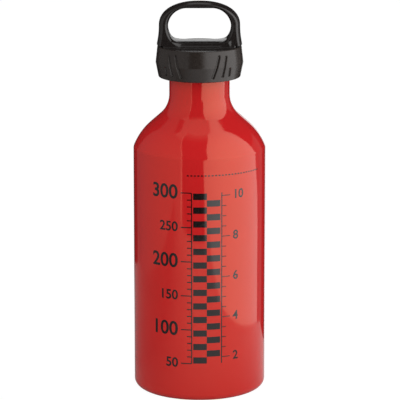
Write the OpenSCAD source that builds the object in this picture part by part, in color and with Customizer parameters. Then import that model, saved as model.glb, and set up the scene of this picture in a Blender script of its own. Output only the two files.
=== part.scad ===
// Camping fuel bottle: a one-piece aluminium bottle with a push-and-turn cap.
// Millimetres. Z is up, and the origin is the middle of the foot, on the ground.

/* [Bottle] */
// Diameter of the straight body
body_d = 63.5; // [58:0.5:70]
// Height at which the body starts to turn into the shoulder
body_h = 118; // [80:1:180]
// Wall of the body and of the shoulder
wall = 0.9; // [0.7:0.1:1.4]
// Thickness of the dished base
base_t = 1.2; // [0.9:0.1:2]
// Rise of the base in its middle
base_dish = 3; // [2:0.5:5]
// Inner radius of the ring that the bottle stands on
stand_ring_r = 24.5; // [20:0.5:25.5]
// Radius of the outer bend at the foot
foot_r = 3.4; // [2.4:0.1:4.2]
// Radius of the tight bend at the top of the body
bend_r = 4; // [2.5:0.1:6]
// Lean of the wall after that bend, in degrees from upright
bend_lean = 22.6; // [15:0.1:28]
// Radius of the rounded shoulder
shoulder_r = 29.5; // [24:0.5:34]
// Lean of the steepest stretch of the shoulder, in degrees from upright
shoulder_lean = 48.4; // [44:0.1:54]
// Radius of the hollow that runs up into the neck
hollow_r = 13; // [9:0.5:15]

/* [Neck] */
// Outer diameter of the neck
neck_d = 29; // [28.4:0.1:30]
// Height of the upright neck above the shoulder
neck_h = 14.7; // [13.5:0.1:18]
// Wall of the neck behind the thread
neck_wall = 1.5; // [1.3:0.1:1.6]
// Height over which the wall thickens above the shoulder
thicken_h = 2.4; // [1:0.1:2.8]
// Bevel inside the mouth
mouth_bevel = 0.8; // [0.5:0.1:1]

/* [Thread] */
// Rise of the thread in one turn
pitch = 3; // [2.8:0.1:3.4]
// How far a thread ridge stands out from its wall
ridge_h = 1.15; // [1:0.05:1.3]
// Height of a ridge where it leaves its wall
ridge_root = 1.7; // [1.3:0.1:1.8]
// Height of a ridge at its tip
ridge_tip = 0.7; // [0.5:0.1:0.9]
// Radial gap between each ridge's tip and the other piece's wall
thread_gap = 0.4; // [0.3:0.05:0.5]
// Gap between the flanks that press on each other when the cap is tight
flank_gap = 0.15; // [0.1:0.05:0.25]
// Turns of thread inside the neck
neck_turns = 2.75; // [2:0.25:3]
// Turns of thread on the plug
plug_turns = 2.25; // [1.5:0.25:2.5]
// Width of the vent slot that crosses the plug's thread
vent_w = 2.4; // [1.5:0.1:3]

/* [Plug] */
// Length of the plug below the mouth of the neck
plug_depth = 10.4; // [10:0.1:11]
// Wall of the hollow plug
plug_wall = 1.6; // [1.2:0.1:2]
// Thickness of the flange
flange_t = 2; // [1.6:0.1:2.4]
// Number of drive teeth on the flange, and of lugs in the cap
teeth = 12; // [6:1:14]
// Share of the tooth spacing that one tooth fills
tooth_share = 0.4; // [0.3:0.01:0.42]
// Height of the drive teeth
tooth_h = 1.4; // [1.2:0.1:1.8]
// Distance from the flange's edge to the teeth
tooth_inset = 1; // [0.7:0.1:1.4]
// Length of a tooth towards the axis
tooth_len = 4.7; // [3.8:0.1:5]
// Gap between the middle boss and the spring
boss_gap = 0.3; // [0.2:0.05:0.5]
// How far the middle boss stays below the top of the teeth
boss_drop = 0.1; // [0:0.1:0.4]

/* [Seal] */
// Thickness of the sealing ring
seal_t = 2.2; // [1.8:0.1:2.6]
// Gap that stands for the ring's light touch on neck and flange
seal_gap = 0.02; // [0.01:0.01:0.05]

/* [Spring] */
// Gap between the spring and the ring of teeth around it
spring_gap = 1.1; // [0.7:0.1:1.6]
// Width of the spring strip
spring_w = 3.4; // [2.8:0.1:4]
// Thickness of the spring strip
spring_t = 0.4; // [0.3:0.05:0.5]
// Number of waves in one turn
waves = 4; // [3:1:6]

/* [Cap] */
// Diameter of the cap's top plate
top_d = 37.3; // [36.4:0.1:40]
// Width of the step in the skirt under the edge of the top plate
step_w = 1.05; // [0.8:0.05:1.3]
// Wall of the skirt's rim around the top plate
rim_wall = 1.5; // [1.2:0.1:1.8]
// Wall of the skirt at its hem
hem_wall = 2.1; // [1.8:0.1:2.4]
// How far the skirt's widest line stands out from its rim
grip_swell = 0.8; // [0.5:0.1:1.4]
// Gap between the skirt's bore and the flange
skirt_gap = 0.4; // [0.3:0.05:0.6]
// How far the skirt reaches down over the neck
skirt_overlap = 6; // [5:0.1:7]
// Height of the widest line above the hem
grip_line_h = 7; // [5:0.1:8.5]
// Travel of the cap when it is pushed down
push_travel = 1.5; // [1.3:0.05:1.7]
// Gap between lugs and teeth while the cap isn't pushed
lug_gap = 0.3; // [0.2:0.05:0.4]
// Free height left when the cap is pushed right down
push_spare = 0.1; // [0.1:0.05:0.3]
// Thickness of the cap's top plate
top_t = 1.2; // [1:0.1:2]
// Height of the skirt's lip above the top plate
lip_h = 0.5; // [0.4:0.1:1]
// How far the lip reaches in over the top plate
lip_grab = 0.3; // [0.2:0.05:0.4]
// How far the retaining bead reaches in under the flange
bead_grab = 0.45; // [0.3:0.05:0.6]
// Height of the retaining bead
bead_h = 1.6; // [1.2:0.1:2]
// Gap between the bead and the flange above it
bead_gap = 0.05; // [0.05:0.05:0.2]
// Rounding of the skirt's hem and rim
edge_r = 0.7; // [0.4:0.1:0.9]
// Depth of the slanted grip grooves
groove_depth = 0.35; // [0.2:0.05:0.5]
// Width of the tool that leaves a groove
groove_w = 0.9; // [0.7:0.1:1.2]

/* [Bail] */
// Height of the bail above the top plate
bail_h = 22; // [19:0.5:27]
// Height of the bail's widest line above the top plate
waist_h = 10; // [8:0.5:12]
// How far the bail stands in from the outside of its feet
bail_inset = 0.85; // [0.6:0.05:1.4]
// Width of a leg seen from the front
leg_w = 4.7; // [4:0.1:5.6]
// Height of the bail's cross bar
bar_h = 3; // [2.4:0.1:4]
// Height of the saddle that closes the finger hole below
saddle_h = 2.8; // [2:0.1:4]
// Depth of the saddle from front to back
saddle_depth = 10.4; // [8:0.2:12]
// Width of the saddle between the leg feet
saddle_w = 19; // [14:0.5:22]
// Depth of the bail from front to back
bail_depth = 9; // [7:0.5:10]
// Extra depth on each side where the legs meet the cap
leg_flare = 2.5; // [0:0.1:3]
// Height over which the legs flare
flare_h = 8; // [5:0.5:10]
// How far the feet stand out from the skirt's rim
foot_proud = 0.4; // [0:0.1:0.6]
// Height of the upright outside of a foot
foot_h = 2; // [1:0.5:3]
// Squareness of the bail's outer curve, where 2 is an ellipse
bail_square = 2.25; // [2:0.05:2.6]
// Squareness of the finger hole above its widest line
hole_square = 2.6; // [2:0.1:3]
// Squareness of the finger hole below its widest line
saddle_square = 3.6; // [2.6:0.1:5]
// Height of the parting gap between leg feet and skirt
parting_h = 0.4; // [0.3:0.05:0.6]

/* [Hidden] */
$fn = 96;
// Angle between neighbouring points on a curved outline
arc_step = 4;
// Angle between neighbouring points on an oval
oval_step = 7.5;
// Length by which cuts and joined pieces run past a face
extra = 0.2;

body_r = body_d / 2;
neck_r = neck_d / 2;
bore_r = neck_r - neck_wall;

// Shoulder: bend, dome, straight cone and hollow follow on from one another
bend_in = bend_r * (1 - cos(bend_lean));
dome_in = shoulder_r * (cos(bend_lean) - cos(shoulder_lean));
hollow_in = hollow_r * (1 - cos(shoulder_lean));
cone_in = body_r - neck_r - bend_in - dome_in - hollow_in;
bend_z = body_h + bend_r * sin(bend_lean);
dome_z = bend_z + shoulder_r * (sin(shoulder_lean) - sin(bend_lean));
cone_z = dome_z + cone_in / tan(shoulder_lean);
neck_z = cone_z + hollow_r * sin(shoulder_lean);
mouth_z = neck_z + neck_h;
// Centre of the shoulder's dome
dome_c = [body_r - bend_in - shoulder_r * cos(bend_lean), bend_z - shoulder_r * sin(bend_lean)];

// Thread: each ridge reaches to thread_gap from the other wall
neck_ridge_r = bore_r - ridge_h;
core_r = neck_ridge_r - thread_gap;
plug_ridge_r = bore_r - thread_gap;
ridge_bite = 0.3;
ridge_steps = 36;
run_in_steps = 6;
// Height of a ridge at a given radius, for both kinds of ridge
function neck_ridge_w(r) = ridge_tip + (ridge_root - ridge_tip) * (r - neck_ridge_r) / ridge_h;
function plug_ridge_w(r) = ridge_root - (ridge_root - ridge_tip) * (r - core_r) / (plug_ridge_r - core_r);
// Distance between the ridges' middles that leaves flank_gap above the plug's ridge
ridge_offset = (neck_ridge_w(plug_ridge_r) + plug_ridge_w(plug_ridge_r)) / 2 + flank_gap;
// Both threads are placed by their top ends, and the plug's ends further round and up
plug_lead = 180;
neck_thread_top = mouth_z - mouth_bevel - ridge_root / 2;
plug_thread_top = neck_thread_top - ridge_offset + pitch * plug_lead / 360;

// Heights in the closed cap, from the mouth upwards
flange_z = mouth_z + seal_t;
teeth_z = flange_z + flange_t;
teeth_top_z = teeth_z + tooth_h;
ceiling_z = teeth_top_z + push_travel + push_spare;
plate_z = ceiling_z + top_t;
rim_z = plate_z + lip_h;
hem_z = mouth_z - skirt_overlap;
lug_z = teeth_top_z + lug_gap;
bead_z = flange_z - bead_gap;

// Diameters of the skirt, from its top plate outwards and inwards
rim_d = top_d + 2 * rim_wall;
grip_d = rim_d + 2 * grip_swell;
skirt_bore_d = top_d - 2 * step_w;
hem_d = skirt_bore_d + 2 * hem_wall;
lip_r = top_d / 2 - lip_grab;

// Diameters of what turns inside the skirt
flange_d = skirt_bore_d - 2 * skirt_gap;
teeth_outer_d = flange_d - 2 * tooth_inset;
teeth_inner_d = teeth_outer_d - 2 * tooth_len;
spring_outer_d = teeth_inner_d - 2 * spring_gap;
spring_inner_d = spring_outer_d - 2 * spring_w;
boss_r = spring_inner_d / 2 - boss_gap;
boss_h = tooth_h - boss_drop;
seal_r = (core_r + neck_r) / 2;

// Bail and its feet
foot_d = rim_d + 2 * foot_proud;
bail_w = foot_d - 2 * bail_inset;
hole_w = bail_w - 2 * leg_w;
foot_z = rim_z + parting_h;
// Gap between the bail's root and the skirt's lip
root_gap = 0.1;
// The root of the bail reaches half way into the top plate
root_z = plate_z - top_t / 2;
waist_z = plate_z + waist_h;
bail_top_z = plate_z + bail_h;

// Grooves of the left front group, as [azimuth, height above the hem] from top to bottom
long_groove = [[32.8, 12.2], [28.8, 7.2], [24.6, 2.6]];
middle_groove = [[43.6, 11.6], [40.4, 7.2], [37.2, 3.2]];
short_groove = [[49.5, 5.4], [48.2, 2.8]];
grooves = [long_groove, middle_groove, short_groove];

// Points on an arc from angle a to angle b
function arc(c, r, a, b) =
    let (n = max(2, ceil(abs(b - a) / arc_step)))
    [for (i = [0:n]) let (t = a + (b - a) * i / n) c + r * [cos(t), sin(t)]];

// Half an oval between an ellipse and a box, by the power n
function oval(c, a, b, n, from, to) =
    let (count = ceil(abs(to - from) / oval_step))
    [for (i = [0:count])
        let (t = from + (to - from) * i / count, x = cos(t), z = sin(t))
        [c[0] + a * sign(x) * pow(abs(x), 2 / n), c[1] + b * sign(z) * pow(abs(z), 2 / n)]];

// Faces of a swept ring of quads, with caps at the ends when it is open
function sweep_faces(rings, sides, closed) = concat(
    [for (i = [0:rings - (closed ? 1 : 2)], j = [0:sides - 1], half = [0, 1])
        let (
            k = (i + 1) % rings,
            m = (j + 1) % sides,
            a = i * sides + j,
            b = i * sides + m,
            c = k * sides + m,
            d = k * sides + j
        )
        half == 0 ? [a, b, c] : [a, c, d]],
    closed ? [] : [
        [for (j = [sides - 1:-1:0]) j],
        [for (j = [0:sides - 1]) (rings - 1) * sides + j]
    ]
);

// Ridge of a right-hand thread, which winds down from top_z and thins out at both ends
module thread_ridge(top_z, turns, wall_r, tip_r, inward) {
    steps = round(turns * ridge_steps);
    bite_r = wall_r + (inward ? ridge_bite : -ridge_bite);
    points = [for (i = [0:steps])
        let (
            turn = (i - steps) / ridge_steps,
            t = 360 * turn,
            rise = top_z + pitch * turn,
            run_in = min(1, (min(i, steps - i) + 1) / run_in_steps),
            r = wall_r + (tip_r - wall_r) * run_in,
            section = [
                [bite_r, -ridge_root / 2],
                [r, -ridge_tip / 2],
                [r, ridge_tip / 2],
                [bite_r, ridge_root / 2]
            ]
        )
        for (p = inward ? [for (j = [3:-1:0]) section[j]] : section)
            [p[0] * cos(t), p[0] * sin(t), rise + p[1]]];
    polyhedron(points, sweep_faces(steps + 1, 4, false), convexity = 8);
}

// Straight twelve-sided rod between two points
module rod(p, q, d) {
    v = q - p;
    translate(p)
        rotate([0, acos(v[2] / norm(v)), atan2(v[1], v[0])])
            cylinder(h = norm(v), d = d, $fn = 12);
}

// Ring of dogs around the axis, each filling its share of the spacing
module dogs(z, h) {
    spacing = 360 / teeth;
    width = spacing * tooth_share;
    for (i = [0:teeth - 1])
        rotate([0, 0, i * spacing - width / 2])
            rotate_extrude(angle = width)
                translate([teeth_inner_d / 2, z])
                    square([(teeth_outer_d - teeth_inner_d) / 2, h]);
}

// Outer skin of the bottle from the middle of the base to the mouth, moved in by t
function bottle_skin(t, dish_r, ring_r) = concat(
    // Dished base
    let (c = [0, base_dish - dish_r], a = asin(ring_r / dish_r))
        arc(c, dish_r + t, 90, 90 - a),
    // Bend at the foot and the body
    arc([body_r - foot_r, foot_r], foot_r - t, -90, 0),
    // Bend into the shoulder, dome and cone
    arc([body_r - bend_r, body_h], bend_r - t, 0, bend_lean),
    arc(dome_c, shoulder_r - t, bend_lean + arc_step, shoulder_lean),
    // Hollow that runs up into the neck
    arc([neck_r + hollow_r, neck_z], hollow_r + t, 180 + shoulder_lean, 180)
);

module bottle_wall() {
    // Radius of the dished base, from its rise and the ring it ends at
    dish_r = (pow(stand_ring_r, 2) + pow(base_dish, 2)) / (2 * base_dish);
    outer = bottle_skin(0, dish_r, stand_ring_r);
    inner = bottle_skin(wall, dish_r, stand_ring_r);
    rotate_extrude()
        difference() {
            polygon(concat(outer, [
                [neck_r, mouth_z],
                [0, mouth_z]
            ]));
            polygon(concat(
                [for (p = inner) [p[0], max(p[1], p[0] < stand_ring_r ? p[1] + base_t - wall : base_t)]],
                [
                    [bore_r, neck_z + thicken_h],
                    [bore_r, mouth_z - mouth_bevel],
                    [bore_r + mouth_bevel + extra, mouth_z + extra],
                    [0, mouth_z + extra]
                ]
            ));
        }
}

module bottle() {
    color("firebrick") {
        bottle_wall();
        thread_ridge(neck_thread_top, neck_turns, bore_r, neck_ridge_r, true);
    }
}

module o_ring() {
    color("dimgray")
        rotate_extrude()
            translate([seal_r, mouth_z + seal_t / 2])
                circle(d = seal_t - 2 * seal_gap);
}

module threaded_plug() {
    plug_z = mouth_z - plug_depth;
    color("darkslategray")
        difference() {
            union() {
                translate([0, 0, plug_z])
                    cylinder(h = flange_z + extra - plug_z, r = core_r);
                translate([0, 0, flange_z])
                    cylinder(h = flange_t, d = flange_d);
                translate([0, 0, teeth_z])
                    cylinder(h = boss_h, r = boss_r);
                dogs(teeth_z - extra, tooth_h + extra);
                rotate([0, 0, plug_lead])
                    thread_ridge(plug_thread_top, plug_turns, core_r, plug_ridge_r, false);
            }
            // Hollow core, open below
            translate([0, 0, plug_z - extra])
                cylinder(h = flange_z - plug_z + extra, r = core_r - plug_wall);
            // Vent slot across the thread
            translate([core_r - extra, -vent_w / 2, plug_z - extra])
                cube([ridge_h + 2 * extra, vent_w, plug_depth]);
        }
}

module wave_spring() {
    steps = 72;
    inner_r = spring_inner_d / 2;
    outer_r = spring_outer_d / 2;
    swing = (ceiling_z - teeth_z) / 2 - spring_t / 2 - seal_gap;
    middle_z = (ceiling_z + teeth_z) / 2;
    points = [for (i = [0:steps - 1])
        let (t = 360 * i / steps, z = middle_z + swing * sin(waves * t))
        for (p = [
            [inner_r, z - spring_t / 2],
            [outer_r, z - spring_t / 2],
            [outer_r, z + spring_t / 2],
            [inner_r, z + spring_t / 2]
        ])
            [p[0] * cos(t), p[0] * sin(t), p[1]]];
    color("silver")
        polyhedron(points, sweep_faces(steps, 4, true), convexity = 8);
}

// Point on the skirt's outside, pushed out from it by off
function on_skirt(azimuth, h, off) =
    let (
        low = h < grip_line_h,
        share = low ? h / grip_line_h : (h - grip_line_h) / (rim_z - hem_z - grip_line_h),
        d = low ? hem_d + (grip_d - hem_d) * share : grip_d + (rim_d - grip_d) * share,
        r = d / 2 + off
    )
    [r * sin(azimuth), -r * cos(azimuth), hem_z + h];

module skirt_grooves() {
    lift = groove_w / 2 - groove_depth;
    for (turn = [0, 180], side = [-1, 1], g = grooves, i = [0:len(g) - 2])
        rotate([0, 0, turn])
            rod(
                on_skirt(side * g[i][0], g[i][1], lift),
                on_skirt(side * g[i + 1][0], g[i + 1][1], lift),
                groove_w
            );
}

module grip_skirt() {
    hem_r = hem_d / 2;
    rim_r = rim_d / 2;
    bore = skirt_bore_d / 2;
    bead_r = flange_d / 2 - bead_grab;
    color([0.16, 0.15, 0.14])
        difference() {
            rotate_extrude()
                polygon(concat(
                    [[bore, hem_z]],
                    arc([hem_r - edge_r, hem_z + edge_r], edge_r, -90, 0),
                    [[grip_d / 2, hem_z + grip_line_h]],
                    arc([rim_r - edge_r, rim_z - edge_r], edge_r, 0, 90),
                    [
                        [lip_r, rim_z],
                        [lip_r, plate_z],
                        [top_d / 2, plate_z],
                        [top_d / 2, ceiling_z],
                        [bore, ceiling_z],
                        [bore, bead_z],
                        [bead_r, bead_z],
                        [bead_r, bead_z - bead_h / 2],
                        [bore, bead_z - bead_h]
                    ]
                ));
            skirt_grooves();
        }
}

// Bail seen from the front, with its finger hole
module bail_face() {
    hole_top = bail_top_z - bar_h - waist_z;
    hole_bottom = waist_z - plate_z - saddle_h;
    difference() {
        polygon(concat(
            oval([0, waist_z], bail_w / 2, bail_top_z - waist_z, bail_square, 0, 180),
            [
                [-foot_d / 2, foot_z + foot_h],
                [-foot_d / 2, root_z],
                [foot_d / 2, root_z],
                [foot_d / 2, foot_z + foot_h]
            ]
        ));
        polygon(concat(
            oval([0, waist_z], hole_w / 2, hole_top, hole_square, 0, 180 - oval_step),
            oval([0, waist_z], hole_w / 2, hole_bottom, saddle_square, 180, 360 - oval_step)
        ));
    }
}

// Bail seen from the side, where the legs flare towards the cap
module bail_side() {
    half = bail_depth / 2;
    flare_steps = 6;
    flare = [for (i = [0:flare_steps])
        let (s = i / flare_steps)
        [half + leg_flare * s * s, plate_z + flare_h * (1 - s)]];
    right = concat([[half, bail_top_z + extra]], flare, [[half + leg_flare, root_z - extra]]);
    polygon(concat(right, [for (i = [len(right) - 1:-1:0]) [-right[i][0], right[i][1]]]));
}

// Loop with its saddle and leg feet, which clears the skirt's lip and rim
module bail() {
    difference() {
        intersection() {
            rotate([90, 0, 0])
                linear_extrude(height = foot_d, center = true)
                    bail_face();
            rotate([90, 0, 90])
                linear_extrude(height = foot_d + extra, center = true)
                    bail_side();
            union() {
                translate([0, 0, root_z])
                    cylinder(h = foot_z - root_z + extra, r = lip_r - root_gap);
                translate([0, 0, foot_z])
                    cylinder(h = bail_h, d = foot_d);
            }
        }
        // The saddle stands back between the leg feet
        for (turn = [0, 180])
            rotate([0, 0, turn])
                translate([-saddle_w / 2, saddle_depth / 2, plate_z])
                    cube([saddle_w, foot_d, saddle_h + extra]);
    }
}

module bail_top() {
    color([0.12, 0.12, 0.12])
        union() {
            translate([0, 0, ceiling_z])
                cylinder(h = top_t, d = top_d);
            // Lugs under the top plate, which stand over the gaps between the teeth
            rotate([0, 0, 180 / teeth])
                dogs(lug_z, ceiling_z + extra - lug_z);
            bail();
        }
}

bottle();
o_ring();
threaded_plug();
wave_spring();
grip_skirt();
bail_top();
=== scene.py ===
import math

import bmesh
import bpy
import numpy as np
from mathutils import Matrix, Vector


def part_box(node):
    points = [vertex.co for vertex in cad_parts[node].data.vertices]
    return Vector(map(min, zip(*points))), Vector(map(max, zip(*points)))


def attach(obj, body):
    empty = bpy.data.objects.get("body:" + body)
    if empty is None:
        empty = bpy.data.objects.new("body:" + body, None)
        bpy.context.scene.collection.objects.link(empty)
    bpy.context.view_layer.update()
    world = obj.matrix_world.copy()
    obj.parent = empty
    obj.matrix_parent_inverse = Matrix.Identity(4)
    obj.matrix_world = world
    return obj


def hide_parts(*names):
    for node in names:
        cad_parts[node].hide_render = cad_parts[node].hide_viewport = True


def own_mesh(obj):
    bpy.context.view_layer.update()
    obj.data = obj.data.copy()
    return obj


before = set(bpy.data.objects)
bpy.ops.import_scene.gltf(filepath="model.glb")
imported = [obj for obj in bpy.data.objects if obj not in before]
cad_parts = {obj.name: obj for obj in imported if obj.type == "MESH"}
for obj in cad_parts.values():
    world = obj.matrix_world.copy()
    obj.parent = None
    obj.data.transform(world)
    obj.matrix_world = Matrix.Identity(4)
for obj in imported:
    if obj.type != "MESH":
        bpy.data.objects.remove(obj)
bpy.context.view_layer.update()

# Camping fuel bottle: looks of every piece, studio and camera.
# Lengths are millimetres in the names below, and meshes are scaled to metres when they are made.
MM = 0.001

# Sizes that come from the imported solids
bottle_low, bottle_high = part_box("bottle")
plug_low, plug_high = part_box("threaded_plug")
ring_low, ring_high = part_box("o_ring")
spring_low, spring_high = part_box("wave_spring")
skirt_low, skirt_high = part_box("grip_skirt")
bail_low, bail_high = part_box("bail_top")
body_r = bottle_high.x / MM
mouth_z = bottle_high.z / MM
plug_z = plug_low.z / MM
teeth_top_z = plug_high.z / MM
flange_r = plug_high.x / MM
hem_z = skirt_low.z / MM
rim_z = skirt_high.z / MM
grip_r = skirt_high.x / MM
lug_z = bail_low.z / MM
bail_top_z = bail_high.z / MM
foot_r = bail_high.x / MM
spring_r = spring_high.x / MM
spring_low_z = spring_low.z / MM
spring_high_z = spring_high.z / MM

# Bottle
BODY_H = 118.0
WALL = 0.9
BASE_T = 1.2
BASE_DISH = 3.0
STAND_RING_R = 24.5
FOOT_BEND_R = 3.4
BEND_R = 4.0
BEND_LEAN = 22.6
SHOULDER_R = 29.5
SHOULDER_LEAN = 48.4
HOLLOW_R = 13.0
NECK_R = 14.5
NECK_H = 14.7
NECK_WALL = 1.5
THICKEN_H = 2.4
MOUTH_BEVEL = 0.8
MOUTH_EDGE_R = 0.3

# Thread
PITCH = 3.0
RIDGE_H = 1.15
RIDGE_ROOT = 1.7
RIDGE_TIP = 0.7
THREAD_GAP = 0.4
FLANK_GAP = 0.15
NECK_TURNS = 2.75
PLUG_TURNS = 2.25
RIDGE_FADE = 1 / 6
VENT_W = 2.4
VENT_BLEND = 0.3

# Plug
PLUG_WALL = 1.6
FLANGE_T = 2.0
TEETH = 12
TOOTH_SHARE = 0.4
TOOTH_H = 1.4
TOOTH_INSET = 1.0
TOOTH_LEN = 4.7
SPRING_W = 3.4
SPRING_T = 0.4
SPRING_EDGE_R = 0.12
WAVES = 4
BOSS_GAP = 0.3
BOSS_DROP = 0.1

# Cap
STEP_W = 1.05
RIM_WALL = 1.5
HEM_WALL = 2.1
GRIP_SWELL = 0.8
GRIP_LINE_H = 7.0
TOP_T = 1.2
LIP_H = 0.5
LIP_GRAB = 0.3
BEAD_GRAB = 0.45
BEAD_H = 1.6
BEAD_GAP = 0.05
EDGE_R = 0.55
LIP_BEVEL = 0.3
GROOVE_DEPTH = 0.9
GROOVE_W = 1.7
GROOVE_SLOPE = 0.3
GROOVE_CENTRE = -3.6
# Grooves of one group, as (azimuth from the middle of the two groups, height above the hem)
GROOVES = (
    ((29.8, 12.2), (26.4, 7.2), (21.3, 2.4)),
    ((40.8, 11.8), (38.2, 7.2), (35.2, 2.8)),
    ((47.4, 5.8), (46.4, 2.8)),
)

# Bail
WAIST_H = 10.0
BAIL_INSET = 1.1
HOLE_HALF_W = 15.0
HOLE_R = 9.0
BAR_H = 3.25
BAIL_DEPTH = 9.0
LEG_FLARE = 2.5
FLARE_H = 8.0
PARTING_H = 0.4
ROOT_GAP = 0.1
BAIL_SQUARE = 2.25
OUTER_BEVEL = 1.4
OUTER_SLANT = 68.0
INNER_CHAMFER = 0.95
SADDLE_W = 26.5
SADDLE_DEPTH = 10.4
SADDLE_H = 2.75
SADDLE_DROOP = 0.8
SADDLE_DRAFT = 0.06

# Rounding where surfaces of the mouldings meet
PLATE_EDGE = 0.15
CRISP = 0.2
FINE = 0.3
CHAMFER_SOFT = 0.35
EDGE_SOFT = 0.4
ROOT_SOFT = 0.5
PLATE_SOFT = 0.7
SIDE_SOFT = 0.8
SADDLE_FILLET = 2.2

# Resolution of the meshes
SEGMENTS = 256
GRIP_SEGMENTS = 720
ARC_STEP = 3.0
FIELD_STEP = 0.25
THREAD_STEP = 0.15
GROOVE_STEP = 0.25

# Sizes that follow from those above
plate_z = rim_z - LIP_H
ceiling_z = plate_z - TOP_T
flange_z = teeth_top_z - TOOTH_H - FLANGE_T
teeth_z = flange_z + FLANGE_T
neck_z = mouth_z - NECK_H
bore_r = NECK_R - NECK_WALL
neck_ridge_r = bore_r - RIDGE_H
core_r = neck_ridge_r - THREAD_GAP
plug_ridge_r = bore_r - THREAD_GAP
rim_r = grip_r - GRIP_SWELL
top_r = rim_r - RIM_WALL
skirt_bore_r = top_r - STEP_W
hem_r = skirt_bore_r + HEM_WALL
lip_r = top_r - LIP_GRAB
bead_r = flange_r - BEAD_GRAB
bead_z = flange_z - BEAD_GAP
teeth_outer_r = flange_r - TOOTH_INSET
teeth_inner_r = teeth_outer_r - TOOTH_LEN
boss_r = spring_r - SPRING_W - BOSS_GAP
waist_z = plate_z + WAIST_H
foot_z = rim_z + PARTING_H
bail_r = foot_r - BAIL_INSET
hole_z = bail_top_z - BAR_H - HOLE_R


# Outlines

def arc(centre, radius, start, end, step=ARC_STEP):
    """Points on an arc from angle start to angle end, in degrees."""
    count = max(2, math.ceil(abs(end - start) / step))
    angles = (math.radians(start + (end - start) * i / count) for i in range(count + 1))
    return [(centre[0] + radius * math.cos(a), centre[1] + radius * math.sin(a)) for a in angles]


def rows_between(start, end, step):
    """Points on a straight line from start up to end, without end itself."""
    count = max(1, math.ceil(math.dist(start, end) / step))
    return [tuple(np.add(start, np.subtract(end, start) * i / count)) for i in range(count)]


def bottle_skin(inset):
    """Outer skin of the bottle from the middle of its base to the neck, moved in by inset."""
    dish_r = (STAND_RING_R ** 2 + BASE_DISH ** 2) / (2 * BASE_DISH)
    dish_angle = math.degrees(math.asin(STAND_RING_R / dish_r))
    bend_in = BEND_R * (1 - math.cos(math.radians(BEND_LEAN)))
    lean, steep = math.radians(BEND_LEAN), math.radians(SHOULDER_LEAN)
    dome = (
        body_r - bend_in - SHOULDER_R * math.cos(lean),
        BODY_H + (BEND_R - SHOULDER_R) * math.sin(lean),
    )
    base = arc((0, BASE_DISH - dish_r), dish_r + inset, 90, 90 - dish_angle)
    foot = arc((body_r - FOOT_BEND_R, FOOT_BEND_R), FOOT_BEND_R - inset, -90, 0, 7.5)
    bend = arc((body_r - BEND_R, BODY_H), BEND_R - inset, 0, BEND_LEAN)
    shoulder = arc(dome, SHOULDER_R - inset, BEND_LEAN + ARC_STEP, SHOULDER_LEAN)
    hollow = arc((NECK_R + HOLLOW_R, neck_z), HOLLOW_R + inset, 180 + SHOULDER_LEAN, 180)
    return base + foot + bend + shoulder + hollow


# Mesh makers

def new_piece(name, verts, faces, body, normals=None):
    """Smooth-shaded mesh from points in millimetres, which rides on a CAD body."""
    mesh = bpy.data.meshes.new(name)
    mesh.from_pydata([tuple(v) for v in np.asarray(verts, float) * MM], [], faces)
    piece = bpy.data.objects.new(name, mesh)
    bpy.context.scene.collection.objects.link(piece)
    if normals is None:
        turn_faces_out(mesh)
    mesh.polygons.foreach_set("use_smooth", [True] * len(mesh.polygons))
    if normals is not None:
        mesh.normals_split_custom_set_from_vertices([tuple(n) for n in normals])
    if body:
        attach(piece, body)
    return piece


def turn_faces_out(mesh):
    work = bmesh.new()
    work.from_mesh(mesh)
    bmesh.ops.recalc_face_normals(work, faces=work.faces)
    work.to_mesh(mesh)
    work.free()


def revolve(name, outline, body, segments=SEGMENTS, bend=None, loop=False):
    """Outline of (radius, height) points turned about the axis. bend moves a ring's points."""
    angles = np.arange(segments) * 2 * math.pi / segments
    verts, rings, faces = [], [], []
    for r, z in outline:
        start = len(verts)
        if r < 1e-6:
            verts.append((0, 0, z))
            rings.append([start])
            continue
        radii, heights = bend(angles, r, z) if bend else (r, z)
        ring = np.stack(np.broadcast_arrays(radii * np.cos(angles), radii * np.sin(angles), heights), 1)
        verts.extend(ring.tolist())
        rings.append(list(range(start, start + segments)))
    pairs = list(zip(rings, rings[1:]))
    if loop:
        pairs.append((rings[-1], rings[0]))
    for low, high in pairs:
        for k in range(segments):
            m = (k + 1) % segments
            if len(low) == 1:
                faces.append((low[0], high[m], high[k]))
            elif len(high) == 1:
                faces.append((low[k], low[m], high[0]))
            else:
                faces.append((low[k], low[m], high[m], high[k]))
    return new_piece(name, verts, faces, body)


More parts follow.
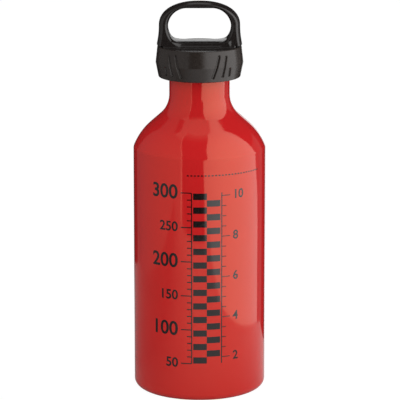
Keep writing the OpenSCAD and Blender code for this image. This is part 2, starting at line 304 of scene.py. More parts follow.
def mould(name, field, low, high, body, step=FIELD_STEP):
    """Closed mesh of the surface where field(x, y, z) is zero, inside a box in millimetres."""
    axes = [np.arange(a, b + step, step) for a, b in zip(low, high)]
    values = field(*np.meshgrid(*axes, indexing="ij"))
    inside = values < 0
    shape = np.array(values.shape) - 1
    total = np.zeros((*shape, 3))
    count = np.zeros(shape)

    # Each cell that the surface crosses gets a point in the middle of its edges' crossings
    def corner(array, offset):
        return array[tuple(slice(o, o + n) for o, n in zip(offset, shape))]

    for axis in range(3):
        for other in ((0, 0), (0, 1), (1, 0), (1, 1)):
            start = list(other)
            start.insert(axis, 0)
            end = list(start)
            end[axis] = 1
            a, b = corner(values, start), corner(values, end)
            crossed = (a < 0) != (b < 0)
            share = np.where(crossed, a / np.where(crossed, a - b, 1), 0)
            place = np.zeros((*shape, 3))
            place[...] = start
            place[..., axis] += share
            total += place * crossed[..., None]
            count += crossed
    used = count > 0
    index = np.full(shape, -1)
    index[used] = np.arange(used.sum())
    cells = np.argwhere(used)
    points = (cells + total[used] / count[used][:, None]) * step + np.array(low)

    # Each grid edge that the surface crosses gives one face between its four cells
    faces = []
    for axis in range(3):
        p, q = (axis + 1) % 3, (axis + 2) % 3
        first = [slice(None)] * 3
        second = [slice(None)] * 3
        first[axis], second[axis] = slice(0, -1), slice(1, None)
        first[p] = second[p] = first[q] = second[q] = slice(1, -1)
        a, b = inside[tuple(first)], inside[tuple(second)]
        for leaving in (True, False):
            found = np.argwhere((a != b) & (a == leaving))
            found[:, p] += 1
            found[:, q] += 1
            corners = []
            for dp, dq in ((1, 1), (0, 1), (0, 0), (1, 0)):
                cell = found.copy()
                cell[:, p] -= dp
                cell[:, q] -= dq
                corners.append(index[tuple(cell.T)])
            quads = np.stack(corners if leaving else corners[::-1], 1)
            faces.extend(quads.tolist())
    points, normals = pull_to_surface(field, points)
    return new_piece(name, points, faces, body, normals)


def pull_to_surface(field, points, rounds=4, nudge=0.02):
    """Moves points onto the field's zero surface, and gives the surface's normals there."""
    def slope(p):
        parts = []
        for axis in range(3):
            shift = np.zeros(3)
            shift[axis] = nudge
            parts.append((field(*(p + shift).T) - field(*(p - shift).T)) / (2 * nudge))
        return np.stack(parts, 1)

    for _ in range(rounds):
        g = slope(points)
        length = np.maximum((g ** 2).sum(1), 0.05)
        move = (field(*points.T) / length)[:, None] * g
        points = points - np.clip(move, -FIELD_STEP / 2, FIELD_STEP / 2)
    g = slope(points)
    return points, g / np.maximum(np.linalg.norm(g, axis=1), 1e-6)[:, None]


# Distance fields, in millimetres and below zero inside

def soft_max(a, b, k):
    """The larger of two fields, rounded over k where they meet."""
    h = np.maximum(k - np.abs(a - b), 0) / k
    return np.maximum(a, b) + h * h * k / 4


def soft_min(a, b, k):
    return -soft_max(-a, -b, k)


def oval(x, z, a, b, square):
    """Distance from an oval about the origin, between an ellipse and a box."""
    u, v = np.maximum(np.abs(x) / a, 1e-4), np.maximum(np.abs(z) / b, 1e-4)
    size = np.maximum((u ** square + v ** square) ** (1 / square), 0.2)
    slope = size ** (1 - square) * np.hypot(u ** (square - 1) / a, v ** (square - 1) / b)
    return (size - 1) / np.maximum(slope, 1e-3)


def leg_flare(z):
    """How far the legs have flared at height z."""
    share = np.clip((plate_z + FLARE_H - z) / FLARE_H, 0, 1)
    return LEG_FLARE * share ** 2


def arch_field(x, y, z):
    """Loop with two legs: an extruded outline with chamfers on all its long edges."""
    rise = z - waist_z
    leg_r = bail_r + BAIL_INSET * (np.minimum(rise, 0) / (WAIST_H - LIP_H)) ** 2
    upper = oval(x, rise, bail_r, bail_top_z - waist_z, BAIL_SQUARE)
    outside = np.where(rise > 0, upper, np.abs(x) - leg_r)
    hole = np.hypot(np.maximum(np.abs(x) - HOLE_HALF_W + HOLE_R, 0), z - hole_z) - HOLE_R
    face = np.abs(y) - BAIL_DEPTH / 2 - leg_flare(z)
    solid = soft_max(outside, -hole, EDGE_SOFT)
    solid = soft_max(solid, face, FINE)
    slant = math.radians(OUTER_SLANT)
    side = (outside + OUTER_BEVEL) * math.sin(slant) + face * math.cos(slant)
    solid = soft_max(solid, side, SIDE_SOFT)
    chamfer = (face - hole + INNER_CHAMFER) / math.sqrt(2)
    solid = soft_max(solid, chamfer, CHAMFER_SOFT)
    return soft_max(solid, np.hypot(x, y) - foot_r, EDGE_SOFT)


def saddle_field(x, y, z):
    """Rib below the finger hole; its top falls off towards the front."""
    half = SADDLE_DEPTH / 2
    droop = SADDLE_DROOP * np.clip(-y / half, 0, 1) ** 2
    front = np.abs(y) - half + SADDLE_DRAFT * (z - plate_z)
    walls = soft_max(np.abs(x) - SADDLE_W / 2, front, SIDE_SOFT)
    return soft_max(walls, z - plate_z - SADDLE_H + droop, CHAMFER_SOFT)


def dogs_field(x, y, z, low, high, turn):
    """Ring of dogs around the axis between two heights."""
    r = np.hypot(x, y)
    spacing = 2 * math.pi / TEETH
    away = (np.arctan2(y, x) - turn + spacing / 2) % spacing - spacing / 2
    side = (np.abs(away) - spacing * TOOTH_SHARE / 2) * r
    ends = np.maximum(teeth_inner_r - r, r - teeth_outer_r)
    return soft_max(soft_max(side, ends, FINE), np.maximum(low - z, z - high), CRISP)


def bail_field(x, y, z):
    """The cap's upper moulding: top plate, lugs, saddle and loop."""
    r = np.hypot(x, y)
    root = np.maximum(r - lip_r + ROOT_GAP, plate_z - TOP_T / 2 - z)
    arch = soft_max(arch_field(x, y, z), np.minimum(foot_z - z, root), ROOT_SOFT)
    saddle = np.maximum(saddle_field(x, y, z), plate_z - TOP_T / 2 - z)
    plate = soft_max(r - top_r, np.maximum(z - plate_z, ceiling_z - z), PLATE_EDGE)
    lugs = dogs_field(x, y, z, lug_z, ceiling_z + TOP_T / 2, math.pi / TEETH)
    upper = soft_min(arch, saddle, SADDLE_FILLET)
    whole = np.maximum(soft_min(upper, plate, PLATE_SOFT), ceiling_z - z)
    return np.minimum(whole, lugs)


def ridge_share(x, y, z, top_z, lead, turns, tip_w, root_w):
    """How far a thread ridge stands out at each point, from 0 beside it to 1 on its crest."""
    angle = (np.arctan2(y, x) - lead) / (2 * math.pi)
    lap = np.round((z - top_z) / PITCH - angle)
    along = angle + lap
    away = np.abs(z - top_z - PITCH * along)
    crest = np.clip((root_w / 2 - away) / ((root_w - tip_w) / 2), 0, 1)
    fade = np.clip(np.minimum(-along, turns + along) / RIDGE_FADE, 0, 1)
    return crest * crest * (3 - 2 * crest) * fade


def plug_thread_top():
    """Height of the upper end of the plug's thread."""
    neck_w = RIDGE_TIP + (RIDGE_ROOT - RIDGE_TIP) * (plug_ridge_r - neck_ridge_r) / RIDGE_H
    offset = (neck_w + RIDGE_TIP) / 2 + FLANK_GAP
    return mouth_z - MOUTH_BEVEL - RIDGE_ROOT / 2 - offset + PITCH / 2


def plug_field(x, y, z):
    """Inner plug: hollow threaded core, flange, boss and teeth."""
    r = np.hypot(x, y)
    crest = ridge_share(x, y, z, plug_thread_top(), math.pi, PLUG_TURNS, RIDGE_TIP, RIDGE_ROOT)
    vent = np.maximum(np.abs(y) - VENT_W / 2, -x)
    crest = crest * np.clip(vent / VENT_BLEND, 0, 1)
    core = (r - core_r - (plug_ridge_r - core_r) * crest) * 0.7
    core = soft_max(core, plug_z - z, EDGE_SOFT)
    core = np.maximum(core, z - teeth_z)
    flange = soft_max(r - flange_r, np.maximum(flange_z - z, z - teeth_z), EDGE_SOFT)
    boss_ends = np.maximum(flange_z - z, z - teeth_top_z + BOSS_DROP)
    boss = soft_max(r - boss_r, boss_ends, EDGE_SOFT)
    teeth = dogs_field(x, y, z, flange_z + FLANGE_T / 2, teeth_top_z, 0)
    hollow = soft_max(r - core_r + PLUG_WALL, z - flange_z, SIDE_SOFT)
    solid = np.maximum(soft_min(core, flange, ROOT_SOFT), z - teeth_z)
    solid = soft_min(np.minimum(solid, teeth), boss, ROOT_SOFT)
    return soft_max(solid, -hollow, FINE)


# Materials

def new_material(name):
    mat = bpy.data.materials.new(name)
    mat.use_nodes = True
    return mat, mat.node_tree, mat.node_tree.nodes["Principled BSDF"]


def add(tree, kind, inputs=None, **settings):
    """New shader node with its settings, and its inputs as values or as sockets to link."""
    node = tree.nodes.new(kind)
    for key, value in settings.items():
        setattr(node, key, value)
    for key, value in (inputs or {}).items():
        if isinstance(value, bpy.types.NodeSocket):
            tree.links.new(value, node.inputs[key])
        else:
            node.inputs[key].default_value = value
    return node


def noise(tree, size_mm, detail=3.0, stretch=(1, 1, 1)):
    """Noise whose blobs are about size_mm across, longer along an axis where stretch is more than 1."""
    where = add(tree, "ShaderNodeTexCoord").outputs["Object"]
    scale = [1 / (size_mm * MM * s) for s in stretch]
    place = add(tree, "ShaderNodeMapping", {"Vector": where, "Scale": scale}).outputs["Vector"]
    made = add(tree, "ShaderNodeTexNoise", {"Vector": place, "Scale": 1.0, "Detail": detail})
    return made.outputs["Fac"]


def ranged(tree, value, low, high, start=0.3, end=0.7):
    """Value spread from start..end to low..high."""
    inputs = {"Value": value, "From Min": start, "From Max": end, "To Min": low, "To Max": high}
    return add(tree, "ShaderNodeMapRange", inputs).outputs["Result"]


def tinted(tree, share, first, second):
    """Colour between two others by a share from 0 to 1."""
    node = add(tree, "ShaderNodeMix", data_type="RGBA")
    tree.links.new(share, node.inputs[0])
    node.inputs[6].default_value = (*first, 1)
    node.inputs[7].default_value = (*second, 1)
    return node.outputs[2]


def bump(tree, height, strength, depth_mm):
    inputs = {"Height": height, "Strength": strength, "Distance": depth_mm * MM}
    return add(tree, "ShaderNodeBump", inputs).outputs["Normal"]


def paint_material():
    """Glossy red lacquer with faint orange peel, fine rubbing and a little colour drift."""
    mat, tree, shader = new_material("red_paint")
    drift = ranged(tree, noise(tree, 28), 0, 1)
    red = tinted(tree, drift, (0.56, 0.0150, 0.0165), (0.535, 0.0135, 0.0150))
    tree.links.new(red, shader.inputs["Base Color"])
    rubbing = noise(tree, 1.2, 6, (1, 1, 14))
    tree.links.new(ranged(tree, rubbing, 0.05, 0.10), shader.inputs["Roughness"])
    tree.links.new(bump(tree, noise(tree, 1.6, 2), 0.04, 0.02), shader.inputs["Normal"])
    shader.inputs["IOR"].default_value = 1.5
    shader.inputs["Specular IOR Level"].default_value = 0.69
    shader.inputs["Specular Tint"].default_value = (1.0, 0.61, 0.40, 1)
    return mat


def metal_material(name, colour, rough_low, rough_high, grain_mm, stretch):
    """Bare metal with drawn grain."""
    mat, tree, shader = new_material(name)
    grain = noise(tree, grain_mm, 5, stretch)
    shade = tinted(tree, ranged(tree, grain, 0, 1), colour, [c * 0.88 for c in colour])
    tree.links.new(shade, shader.inputs["Base Color"])
    tree.links.new(ranged(tree, grain, rough_low, rough_high), shader.inputs["Roughness"])
    tree.links.new(bump(tree, grain, 0.15, 0.02), shader.inputs["Normal"])
    shader.inputs["Metallic"].default_value = 1.0
    return mat


def plastic_material(name, first, second, rough_low, rough_high, grain_mm, grain_depth, ior=1.43):
    """Moulded plastic: spark-eroded grain, flow marks in colour and gloss."""
    mat, tree, shader = new_material(name)
    flow = ranged(tree, noise(tree, 6, 4, (1, 1, 2)), 0, 1)
    tree.links.new(tinted(tree, flow, first, second), shader.inputs["Base Color"])
    tree.links.new(ranged(tree, noise(tree, 2.2, 5), rough_low, rough_high), shader.inputs["Roughness"])
    tree.links.new(bump(tree, noise(tree, grain_mm, 3), 0.35, grain_depth), shader.inputs["Normal"])
    shader.inputs["IOR"].default_value = ior
    return mat


def ink_material():
    """Black screen print under the same gloss as the paint, a little thin in places."""
    mat, tree, shader = new_material("black_ink")
    cover = ranged(tree, noise(tree, 0.5, 4), 0, 1, 0.25, 0.75)
    black = tinted(tree, cover, (0.006, 0.0045, 0.0045), (0.012, 0.006, 0.006))
    tree.links.new(black, shader.inputs["Base Color"])
    tree.links.new(ranged(tree, noise(tree, 0.8, 4), 0.08, 0.16), shader.inputs["Roughness"])
    tree.links.new(bump(tree, noise(tree, 0.3, 2), 0.05, 0.01), shader.inputs["Normal"])
    shader.inputs["IOR"].default_value = 1.45
    return mat


def dress(piece, slot, *materials):
    """Puts materials in the piece's slots. The slot argument is not used."""
    slots = piece.material_slots
    for i, mat in enumerate(materials):
        if i < len(slots):
            slots[i].material = mat
        else:
            piece.data.materials.append(mat)


# Pieces

def make_bottle():
    """Drawn bottle with its inside, dished base and thread in the neck."""
    thread_top = mouth_z - MOUTH_BEVEL - RIDGE_ROOT / 2
    thread_low = thread_top - NECK_TURNS * PITCH - RIDGE_ROOT
    edge = arc((NECK_R - MOUTH_EDGE_R, mouth_z - MOUTH_EDGE_R), MOUTH_EDGE_R, 0, 90, 15)
    bevel = [(bore_r + MOUTH_BEVEL, mouth_z)]
    threaded = rows_between((bore_r, mouth_z - MOUTH_BEVEL), (bore_r, thread_low), THREAD_STEP)
    outside = bottle_skin(0) + edge + bevel
    inner = [(r, max(z, z + BASE_T - WALL if r < STAND_RING_R else BASE_T)) for r, z in bottle_skin(WALL)]
    inside = threaded + [(bore_r, thread_low), (bore_r, neck_z + THICKEN_H)] + inner[::-1]

    def threads(angles, r, z):
        if abs(r - bore_r) > 1e-6:
            return r, z
        x, y = np.cos(angles), np.sin(angles)
        share = ridge_share(x, y, z, thread_top, 0, NECK_TURNS, RIDGE_TIP, RIDGE_ROOT)
        return r - RIDGE_H * share, z

    piece = revolve("bottle_shell", outside + inside, "bottle", bend=threads)
    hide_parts("bottle")
    return piece, len(outside)


def paint_bottle(piece, outside_rows, paint, metal):
    """Paint outside, bare metal from the mouth's bevel inwards."""
    dress(piece, "red_paint", paint, metal)
    first_inside = 1 + (outside_rows - 1) * SEGMENTS
    for face in piece.data.polygons:
        if min(face.vertices) >= first_inside - SEGMENTS:
            face.material_index = 1


def groove_depth(angles, r, z):
    """Depth of the grip grooves at points on the skirt's outside."""
    azimuth = np.degrees(np.arctan2(np.cos(angles), -np.sin(angles))) - GROOVE_CENTRE
    azimuth = np.abs((azimuth + 180) % 360 - 180)
    front = np.minimum(azimuth, 180 - azimuth)
    across = np.radians(front) * r
    depth = np.zeros_like(angles)
    for groove in GROOVES:
        nearest = np.full_like(angles, 1e3)
        for (az_a, h_a), (az_b, h_b) in zip(groove, groove[1:]):
            a = np.array((math.radians(az_a) * grip_r, h_a))
            b = np.array((math.radians(az_b) * grip_r, h_b))
            p = np.stack((across, np.full_like(across, z - hem_z)), 1) - a
            share = np.clip(p @ (b - a) / ((b - a) @ (b - a)), 0, 1)
            nearest = np.minimum(nearest, np.linalg.norm(p - share[:, None] * (b - a), axis=1))
        wall = np.clip((GROOVE_W / 2 - nearest) / (GROOVE_W * GROOVE_SLOPE), 0, 1)
        depth = np.maximum(depth, GROOVE_DEPTH * wall * wall * (3 - 2 * wall))
    return depth


def make_skirt():
    """Grip ring with its bore, bead, lip and slanted grooves."""
    low = arc((hem_r - EDGE_R, hem_z + EDGE_R), EDGE_R, -90, 0, 10)
    high = arc((rim_r - EDGE_R, rim_z - EDGE_R), EDGE_R, 0, 90, 10)
    widest = (grip_r, hem_z + GRIP_LINE_H)
    lower = rows_between(low[-1], widest, GROOVE_STEP)
    upper = rows_between(widest, high[0], GROOVE_STEP)
    outside = low[:-1] + lower + upper + high
    inside = [
        (lip_r, rim_z - LIP_BEVEL), (lip_r, plate_z), (top_r, plate_z), (top_r, ceiling_z),
        (skirt_bore_r, ceiling_z), (skirt_bore_r, bead_z), (bead_r, bead_z),
        (bead_r, bead_z - BEAD_H / 2), (skirt_bore_r, bead_z - BEAD_H), (skirt_bore_r, hem_z),
    ]

    def grooved(angles, r, z):
        if r < hem_r - EDGE_R:
            return r, z
        return r - groove_depth(angles, r, z), z

    piece = revolve("grip_ring", outside + inside, "cap", GRIP_SEGMENTS, grooved, loop=True)
    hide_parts("grip_skirt")
    return piece


def make_bail():
    reach = foot_r + 2 * FIELD_STEP
    low = (-reach, -top_r - 2 * FIELD_STEP, lug_z - 2 * FIELD_STEP)
    high = (reach, top_r + 2 * FIELD_STEP, bail_top_z + 2 * FIELD_STEP)
    piece = mould("bail_moulding", bail_field, low, high, "cap")
    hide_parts("bail_top")
    return piece


def make_plug():
    reach = flange_r + 2 * FIELD_STEP
    low = (-reach, -reach, plug_z - 2 * FIELD_STEP)
    high = (reach, reach, teeth_top_z + 2 * FIELD_STEP)
    piece = mould("plug_moulding", plug_field, low, high, "plug")
    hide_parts("threaded_plug")
    return piece


def make_spring():
    """Wave washer of rounded section, waved round the axis."""
    half_t = SPRING_T / 2
    middle = (spring_low_z + spring_high_z) / 2
    swing = (spring_high_z - spring_low_z) / 2 - half_t
    corners = ((spring_r, -90), (spring_r, 0), (spring_r - SPRING_W, 90), (spring_r - SPRING_W, 180))
    outline = []
    for r, start in corners:
        inward = -SPRING_EDGE_R if r == spring_r else SPRING_EDGE_R
        up = half_t - SPRING_EDGE_R if start in (0, 90) else SPRING_EDGE_R - half_t
        outline += arc((r + inward, middle + up), SPRING_EDGE_R, start, start + 90, 30)

    def waved(angles, r, z):
        return r, z + swing * np.sin(WAVES * angles)

    piece = revolve("wave_washer", outline, "spring", bend=waved, loop=True)
    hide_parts("wave_spring")
    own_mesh(piece)
    return piece


# Print on the bottle, all generic: a fill line, a graduated staff and plain numbers
INK_T = 0.04
INK_BITE = 0.1
FILL_Z = 110.95
FILL_VOLUME = 325
MM_PER_ML = 1000 / (math.pi * (body_r - WALL) ** 2)
DASHES = 24
DASH_W = 0.95
DASH_H = 0.6
DASH_FROM = -6.0
DASH_TO = 34.2
STAFF_LEFT = -3.0
STAFF_MIDDLE = 3.5
STAFF_RIGHT = 10.0
STAFF_GAP = 0.25
LINE_GAP = 0.5
LINE_W = 0.5
TICK_W = 0.5
OUNCE_TICK_W = 0.4
SHORT_TICK = 2.0
LONG_TICK = 5.0
OUNCE_LONG_TICK = 4.0
BIG_DIGITS = 9.5
SMALL_DIGITS = 6.5
OUNCE_DIGITS = 6.0
DIGITS_LEFT = -10.4
DIGITS_RIGHT = 16.6
DIGIT_WEIGHT = 0.018
DIGIT_SLICE = 0.8
ML_PER_OUNCE = 29.574


def wrapped(verts):
    """Flat print at (across, out, up) laid round the body, with its middle towards the front."""
    verts = np.asarray(verts, float)
    angle = verts[:, 0] / body_r
    r = body_r + verts[:, 1]
    return np.stack((r * np.sin(angle), -r * np.cos(angle), verts[:, 2]), 1)


def bar(left, right, low, high, step=1.2):
    """Closed thin block of ink between two widths and two heights on the body."""
    count = max(1, math.ceil((right - left) / step))
    xs = [left + (right - left) * i / count for i in range(count + 1)]
    section = ((INK_T, low), (INK_T, high), (-INK_BITE, high), (-INK_BITE, low))
    verts = [(x, y, z) for x in xs for y, z in section]
    faces = [(0, 1, 2, 3), tuple(4 * count + k for k in (3, 2, 1, 0))]
    for i in range(count):
        for k in range(4):
            m = (k + 1) % 4
            faces.append((4 * i + k, 4 * i + 4 + k, 4 * i + 4 + m, 4 * i + m))
    return wrapped(verts), faces


def printed(name, shapes):
    """One piece from many bars or other shapes of ink, shaded as round as the body."""
    verts, faces = [], []
    for points, polygons in shapes:
        start = len(verts)
        verts.extend(np.asarray(points).tolist())
        faces.extend(tuple(start + k for k in p) for p in polygons)
    piece = new_piece(name, verts, faces, "bottle")
    out = np.array(verts) * (1, 1, 0)
    out /= np.linalg.norm(out, axis=1)[:, None]
    piece.data.normals_split_custom_set_from_vertices([tuple(n) for n in out])
    return piece


def number(text, size, across, up, anchor):
    """Digits as a closed thin shape of ink, sliced so that it follows the body."""
    curve = bpy.data.curves.new("digits", "FONT")
    curve.body = text
    curve.size = size
    curve.align_x = anchor
    curve.align_y = "CENTER"
    curve.extrude = (INK_T + INK_BITE) / 2
    curve.offset = DIGIT_WEIGHT * size
    holder = bpy.data.objects.new("digits", curve)
    bpy.context.scene.collection.objects.link(holder)
    bpy.context.view_layer.update()
    graph = bpy.context.evaluated_depsgraph_get()
    mesh = bpy.data.meshes.new_from_object(holder.evaluated_get(graph))
    work = bmesh.new()
    work.from_mesh(mesh)
    bmesh.ops.remove_doubles(work, verts=work.verts, dist=1e-4)
    bmesh.ops.triangulate(work, faces=[f for f in work.faces if len(f.verts) > 4])
    xs = [v.co.x for v in work.verts]
    cut = min(xs) + DIGIT_SLICE
    while cut < max(xs):
        geometry = work.verts[:] + work.edges[:] + work.faces[:]
        bmesh.ops.bisect_plane(work, geom=geometry, plane_co=(cut, 0, 0), plane_no=(1, 0, 0))
        cut += DIGIT_SLICE
    middle = (INK_T - INK_BITE) / 2
    points = [(v.co.x + across, v.co.z + middle, v.co.y + up) for v in work.verts]
    work.verts.index_update()
    faces = [[v.index for v in f.verts] for f in work.faces]
    work.free()
    bpy.data.objects.remove(holder)
    bpy.data.meshes.remove(mesh)
    return wrapped(points), faces


def level(volume):
    """Height of the surface at a volume in millilitres."""
    return FILL_Z - (FILL_VOLUME - volume) * MM_PER_ML


def staff_bar(left, right, volume):
    """One dark field of the staff, from a volume to 10 millilitres above it."""
    return bar(left, right, level(volume) + STAFF_GAP / 2, level(volume + 10) - STAFF_GAP / 2)


def make_print():
    """Dashed fill line, chequered staff, ticks and plain numbers."""
    pitch = (DASH_TO - DASH_FROM) / DASHES
    starts = [DASH_FROM + pitch * i for i in range(DASHES)]
    dashes = [bar(x, x + DASH_W, FILL_Z - DASH_H / 2, FILL_Z + DASH_H / 2) for x in starts]
    left_line = STAFF_LEFT - LINE_GAP - LINE_W
    right_line = STAFF_RIGHT + LINE_GAP + LINE_W
    staff = []
    for volume in range(50, 300, 20):
        staff.append(staff_bar(STAFF_LEFT, STAFF_MIDDLE, volume))
    for volume in range(60, 300, 20):
        staff.append(staff_bar(STAFF_MIDDLE, STAFF_RIGHT, volume))
    staff.append(bar(left_line, left_line + LINE_W, level(50), level(300)))
    staff.append(bar(right_line - LINE_W, right_line, level(50), level(300)))
    for volume in range(50, 301, 10):
        reach = LONG_TICK if volume % 50 == 0 else SHORT_TICK
        z = level(volume)
        staff.append(bar(left_line - reach, left_line, z - TICK_W / 2, z + TICK_W / 2))
    for half in range(4, 21):
        z = level(half * ML_PER_OUNCE / 2)
        reach = OUNCE_LONG_TICK if half % 4 == 0 else SHORT_TICK
        staff.append(bar(right_line, right_line + reach, z - OUNCE_TICK_W / 2, z + OUNCE_TICK_W / 2))
    digits = []
    for volume in range(50, 301, 50):
        size = BIG_DIGITS if volume % 100 == 0 else SMALL_DIGITS
        digits.append(number(str(volume), size, DIGITS_LEFT, level(volume), "RIGHT"))
    for ounces in range(2, 11, 2):
        up = level(ounces * ML_PER_OUNCE)
        digits.append(number(str(ounces), OUNCE_DIGITS, DIGITS_RIGHT, up, "LEFT"))
    return [printed("fill_line_ink", dashes), printed("staff_ink", staff), printed("number_ink", digits)]


# Studio: sides of the patches in degrees, as azimuths or as (elevation, azimuth) points
STAGE_R = 600.0
FILL_R = 4000.0
STAGE_Z = 120.0
LOW = -45
RIGHT_FRONT = ((-45, 9), (-14, 9), (-10, 5.5), (-8, 5.5), (0, 11), (20, 14), (47, 15), (62, 24), (75, 42))
RIGHT_BACK = ((-45, 120), (-14, 120), (-11, 110), (-8, 108), (-2, 112), (8, 113), (21, 110),
              (38, 106), (52, 105), (61, 101), (68, 94), (75, 80))
LEFT_FRONT = ((-45, -32), (-13, -32), (0, -30), (35, -35), (50, -45), (72, -66))
LEFT_LINE = ((-45, -29.8), (-13, -29.8), (0, -28), (35, -33), (50, -43), (72, -64))
LEFT_BACK = ((-45, -139), (0, -137), (31, -131), (45, -126), (60, -116))
# Opening at the back, through which the cap's flat tops reflect the white world
WINDOW_RIGHT = 166
WINDOW_LEFT = 194
WINDOW_LOW = 9
WINDOW_HIGH = 27
# White sheet that the bottle stands on, as far as its gloss shows it
SHEET = ((-330, -340), (100, -340), (114, -136), (130, -78), (137, -11), (132, 38), (112, 72),
         (40, 68), (0, 110), (-115, 222), (-208, 162), (-225, 110))
FLOOR_SIDE = 4000.0
FLOOR_DROP = 0.1
FLOOR_GLOW = 1.14
FLOOR_GLOW_SHARE = 0.85
# Azimuth towards which the floor's matt colour is painted lighter; away from it painted shade darkens it
# to grey
FLOOR_PAINTED_LIGHT_AZIMUTH = 53
WORLD_LIGHT = 0.12
PATCH_ROW = 4
PATCH_COLS = 24
DARK = 0.02


def stage_material(name, strength, hot=None):
    """Card or softbox that only shines, evenly or more from its hot side."""
    mat = bpy.data.materials.new(name)
    mat.use_nodes = True
    tree = mat.node_tree
    tree.nodes.clear()
    glow = add(tree, "ShaderNodeEmission", {"Color": (1, 1, 1, 1), "Strength": strength})
    if hot:
        azimuth, elevation, share = hot
        place = add(tree, "ShaderNodeNewGeometry").outputs["Position"]
        from_middle = {0: place, 1: (0, 0, STAGE_Z * MM)}
        toward = add(tree, "ShaderNodeVectorMath", from_middle, operation="SUBTRACT").outputs[0]
        unit = add(tree, "ShaderNodeVectorMath", {0: toward}, operation="NORMALIZE").outputs[0]
        both = {0: unit, 1: tuple(direction(azimuth, elevation))}
        near = add(tree, "ShaderNodeVectorMath", both, operation="DOT_PRODUCT").outputs["Value"]
        tree.links.new(ranged(tree, near, strength * share, strength, 0, 1), glow.inputs["Strength"])
    out = add(tree, "ShaderNodeOutputMaterial")
    tree.links.new(glow.outputs[0], out.inputs["Surface"])
    return mat


def patch(name, left, right, low, high, strength, seen_in_gloss, hot=None):
    """Part of a sphere round the bottle, as a softbox or a dark card.

    left and right are azimuths from the camera's side in degrees, each a number or (elevation,
    azimuth) points along that edge. A hot softbox is brightest towards (azimuth, elevation)
    and falls to a share of that at right angles to it.
    """
    def edge(points, elevation):
        return np.interp(elevation, *zip(*points)) if isinstance(points, tuple) else points

    radius = STAGE_R if seen_in_gloss else FILL_R
    rows = max(1, math.ceil((high - low) / PATCH_ROW))
    cols = PATCH_COLS
    verts, faces = [], []
    for i in range(rows + 1):
        up = low + (high - low) * i / rows
        first, last = edge(left, up), edge(right, up)
        for k in range(cols + 1):
            verts.append(direction(first + (last - first) * k / cols, up) * radius)
    for i in range(rows):
        for k in range(cols):
            m = i * (cols + 1) + k
            faces.append((m, m + 1, m + cols + 2, m + cols + 1))
    card = new_piece(name, np.array(verts) + (0, 0, STAGE_Z), faces, None)
    card.data.materials.append(stage_material(name, strength, hot))
    card.visible_camera = False
    card.visible_glossy = seen_in_gloss
    card.visible_diffuse = not seen_in_gloss
    card.visible_shadow = False


def direction(azimuth, elevation):
    """Unit vector towards an azimuth from the camera's side and an elevation, in degrees."""
    a, e = math.radians(azimuth), math.radians(elevation)
    return np.array((math.sin(a) * math.cos(e), -math.cos(a) * math.cos(e), math.sin(e)))


def floor_material():
    """White floor: almost all of what the camera sees of it is plain white, the rest takes the shadow. Its
    matt colour holds painted light and shade: white towards one azimuth and painted darker grey away from
    it, which the bottle's gloss shows.
    """
    mat = bpy.data.materials.new("floor_white")
    mat.use_nodes = True
    tree = mat.node_tree
    tree.nodes.clear()
    seen = add(tree, "ShaderNodeLightPath").outputs["Is Camera Ray"]
    share = add(tree, "ShaderNodeMath", {0: seen, 1: FLOOR_GLOW_SHARE}, operation="MULTIPLY").outputs[0]
    where = add(tree, "ShaderNodeNewGeometry").outputs["Position"]
    toward = {0: where, 1: tuple(direction(FLOOR_PAINTED_LIGHT_AZIMUTH, 0))}
    near = add(tree, "ShaderNodeVectorMath", toward, operation="DOT_PRODUCT").outputs["Value"]
    # Painted light falloff: the matt colour is white towards the lit azimuth and painted down to 0.28 grey
    # away from it
    painted_light_falloff = ranged(tree, near, 0.28, 1.0, -0.06, 0.09)
    grey = add(tree, "ShaderNodeCombineColor", {0: painted_light_falloff, 1: painted_light_falloff, 2: painted_light_falloff}).outputs[0]
    matt = add(tree, "ShaderNodeBsdfDiffuse", {"Color": grey}).outputs[0]
    white = add(tree, "ShaderNodeEmission", {"Color": (1, 1, 1, 1), "Strength": FLOOR_GLOW}).outputs[0]
    mixed = add(tree, "ShaderNodeMixShader", {0: share, 1: matt, 2: white}).outputs[0]
    out = add(tree, "ShaderNodeOutputMaterial")
    tree.links.new(mixed, out.inputs["Surface"])
    return mat


def make_floor():
    """White sheet under the bottle, which shows in its gloss with painted light and shade in its colour,
    on a wide floor, which doesn't.
    """
    mat = floor_material()
    wide = [(x * FLOOR_SIDE, y * FLOOR_SIDE, -FLOOR_DROP) for x, y in ((-1, -1), (1, -1), (1, 1), (-1, 1))]
    sheet = new_piece("floor_sheet", [(x, y, 0) for x, y in SHEET], [tuple(range(len(SHEET)))], None)
    floor = new_piece("floor_wide", wide, [(0, 1, 2, 3)], None)
    floor.visible_glossy = False
    for piece in (sheet, floor):
        piece.data.materials.append(mat)


def make_world(diffuse_level):
    """White where the camera, gloss and clear materials look, and dimmer as a light."""
    world = bpy.data.worlds.new("studio")
    bpy.context.scene.world = world
    world.use_nodes = True
    tree = world.node_tree
    tree.nodes.clear()
    path = add(tree, "ShaderNodeLightPath").outputs
    straight = {0: path["Is Camera Ray"], 1: path["Is Glossy Ray"]}
    seen = add(tree, "ShaderNodeMath", straight, operation="MAXIMUM")
    clear = {0: seen.outputs[0], 1: path["Is Transmission Ray"]}
    shown = add(tree, "ShaderNodeMath", clear, operation="MAXIMUM").outputs[0]
    dim = add(tree, "ShaderNodeBackground", {"Color": (1, 1, 1, 1), "Strength": diffuse_level}).outputs[0]
    white = add(tree, "ShaderNodeBackground", {"Color": (1, 1, 1, 1), "Strength": 1.0}).outputs[0]
    mixed = add(tree, "ShaderNodeMixShader", {0: shown, 1: dim, 2: white}).outputs[0]
    out = add(tree, "ShaderNodeOutputWorld")
    tree.links.new(mixed, out.inputs["Surface"])


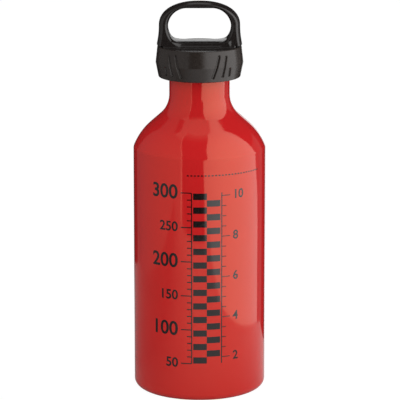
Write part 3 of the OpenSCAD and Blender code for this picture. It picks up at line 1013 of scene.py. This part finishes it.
def make_studio():
    """Soft light from the sides, and what the gloss shows: softboxes, dark gaps and a bright back."""
    make_world(WORLD_LIGHT)
    make_floor()
    patch("fill_right", 10, 155, -10, 88, 1.32, False)
    patch("fill_front", -28, 10, -10, 88, 0.9, False)
    patch("fill_left", -165, -28, -10, 88, 0.97, False)
    patch("softbox_right", RIGHT_FRONT, RIGHT_BACK, LOW, 75, 3.1, True, (60, 15, 0.25))
    patch("softbox_left", LEFT_BACK, LEFT_FRONT, LOW, 60, 0.66, True, (-40, 10, 0.25))
    patch("edge_left", LEFT_FRONT, LEFT_LINE, LOW, 72, 1.7, True)
    patch("gap_front", LEFT_LINE, RIGHT_FRONT, LOW, 63, DARK, True)
    patch("gap_front_high", LEFT_LINE, RIGHT_FRONT, 63, 69, 0.2, True)
    patch("gap_front_top", LEFT_LINE, RIGHT_FRONT, 69, 75, 0.45, True)
    patch("glow_right", RIGHT_BACK, 138, LOW, 20, 0.22, True)
    patch("gap_back_low", 138, 163, LOW, 20, DARK, True)
    patch("gap_back_middle", 163, WINDOW_RIGHT, WINDOW_LOW, 20, DARK, True)
    patch("gap_back_right", RIGHT_BACK, WINDOW_RIGHT, 20, 70, DARK, True)
    patch("gap_back_left", WINDOW_LEFT, tuple((e, a + 360) for e, a in LEFT_BACK), LOW, 60, DARK, True)
    patch("gap_window_low", 172, WINDOW_LEFT, LOW, WINDOW_LOW, DARK, True)
    patch("gap_window_high", WINDOW_RIGHT, WINDOW_LEFT, WINDOW_HIGH, 54, DARK, True)
    patch("glow_window_top", WINDOW_RIGHT, WINDOW_LEFT, 54, 70, 0.8, True)
    patch("overhead_left", -90, LEFT_FRONT, 60, 75, 0.75, True)
    patch("overhead_middle", -74, 74, 75, 84, 0.8, True)
    patch("seam_left", -108, -74, 75, 84, DARK, True)
    patch("seam_right", 74, 108, 75, 84, DARK, True)
    patch("overhead_right_back", RIGHT_BACK, 180, 70, 75, 0.15, True)
    patch("overhead_left_back", 180, 270, 60, 75, 0.1, True)
    patch("overhead_back", 108, 252, 75, 84, 0.5, True)
    patch("seam_top", 0, 360, 84, 90, DARK, True)


# Camera
CAMERA_DISTANCE = 1270.0
CAMERA_TURN = 13.0
CAMERA_TARGET_X = 0.24
CAMERA_TARGET_Z = 92.07
LENS = 236.3


def make_camera():
    data = bpy.data.cameras.new("camera")
    data.lens = LENS
    data.sensor_width = 36.0
    data.clip_start = 0.05
    data.clip_end = 20.0
    camera = bpy.data.objects.new("camera", data)
    bpy.context.scene.collection.objects.link(camera)
    turn = math.radians(CAMERA_TURN)
    back = Vector((0, -math.cos(turn), math.sin(turn)))
    target = Vector((CAMERA_TARGET_X, 0, CAMERA_TARGET_Z)) * MM
    camera.location = target + back * CAMERA_DISTANCE * MM
    camera.rotation_euler = (-back).to_track_quat("-Z", "Y").to_euler()
    bpy.context.scene.camera = camera


make_camera()
bpy.context.scene.view_settings.view_transform = "Standard"

paint = paint_material()
ink = ink_material()
aluminium = metal_material("bare_aluminium", (0.80, 0.80, 0.81), 0.22, 0.38, 0.5, (1, 1, 12))
steel = metal_material("spring_steel", (0.62, 0.61, 0.60), 0.15, 0.28, 0.4, (6, 6, 1))
skirt_brown = (0.0172, 0.0124, 0.0102), (0.0210, 0.0155, 0.0130)
bail_brown = (0.0115, 0.0090, 0.0084), (0.0150, 0.0120, 0.0112)
skirt_plastic = plastic_material("skirt_plastic", *skirt_brown, 0.22, 0.30, 0.22, 0.012, 1.39)
bail_plastic = plastic_material("bail_plastic", *bail_brown, 0.12, 0.19, 0.35, 0.006)
plug_black = (0.020, 0.020, 0.021), (0.028, 0.028, 0.029)
rubber_black = (0.012, 0.012, 0.012), (0.022, 0.021, 0.020)
plug_plastic = plastic_material("plug_plastic", *plug_black, 0.30, 0.42, 0.3, 0.02)
rubber = plastic_material("seal_rubber", *rubber_black, 0.55, 0.75, 0.18, 0.03)

bottle_piece, outside_rows = make_bottle()
paint_bottle(bottle_piece, outside_rows, paint, aluminium)
for piece in make_print():
    dress(piece, "red_paint", ink)
dress(make_skirt(), "skirt_plastic", skirt_plastic)
dress(make_bail(), "bail_plastic", bail_plastic)
dress(make_plug(), "plug_plastic", plug_plastic)
dress(make_spring(), "spring_steel", steel)
dress(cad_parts["o_ring"], "seal_rubber", rubber)
make_studio()
